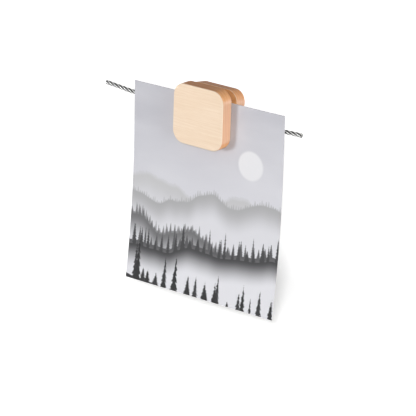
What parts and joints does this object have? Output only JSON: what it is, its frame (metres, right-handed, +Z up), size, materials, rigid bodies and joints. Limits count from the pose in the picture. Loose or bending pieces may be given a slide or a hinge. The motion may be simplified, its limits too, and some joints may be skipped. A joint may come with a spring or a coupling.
{
  "type": "photo clip",
  "caption": "Rounded wood blocks with inset disc magnets rock on a taut steel rope and nip a curled photo print between their lower edges.",
  "frame": {"origin": "on the rope's axis, at the middle of the clip's width", "axes": "+X along the rope, to the viewer's right; +Y away from the viewer, from the front block to the rear one; +Z up"},
  "size_m": [0.1391, 0.0216, 0.1264],
  "materials": {
    "wood": "matte",
    "magnet": "satin",
    "rope": "satin",
    "print": "matte"
  },
  "bodies": {
    "rope": {"steel_rope": "rope"},
    "rear_jaw": {"rear_block": "wood", "rear_magnet": "magnet"},
    "front_jaw": {"front_block": "wood", "front_magnet": "magnet"},
    "print": {"photo_print": "print"}
  },
  "joints": [
    {"name": "clip_slide", "type": "slide", "parent": "rope", "child": "rear_jaw", "axis": [1, 0, 0], "range_m": [-0.028, 0.03]},
    {"name": "jaw_rock", "type": "hinge", "parent": "rear_jaw", "child": "front_jaw", "pos_m": [0, 0, 0], "axis": [1, 0, 0], "range_deg": [-15, 0]},
    {"name": "print_pull", "type": "slide", "parent": "front_jaw", "child": "print", "axis": [0, 0.0774, -0.997], "range_m": [0, 0.032]}
  ]
}
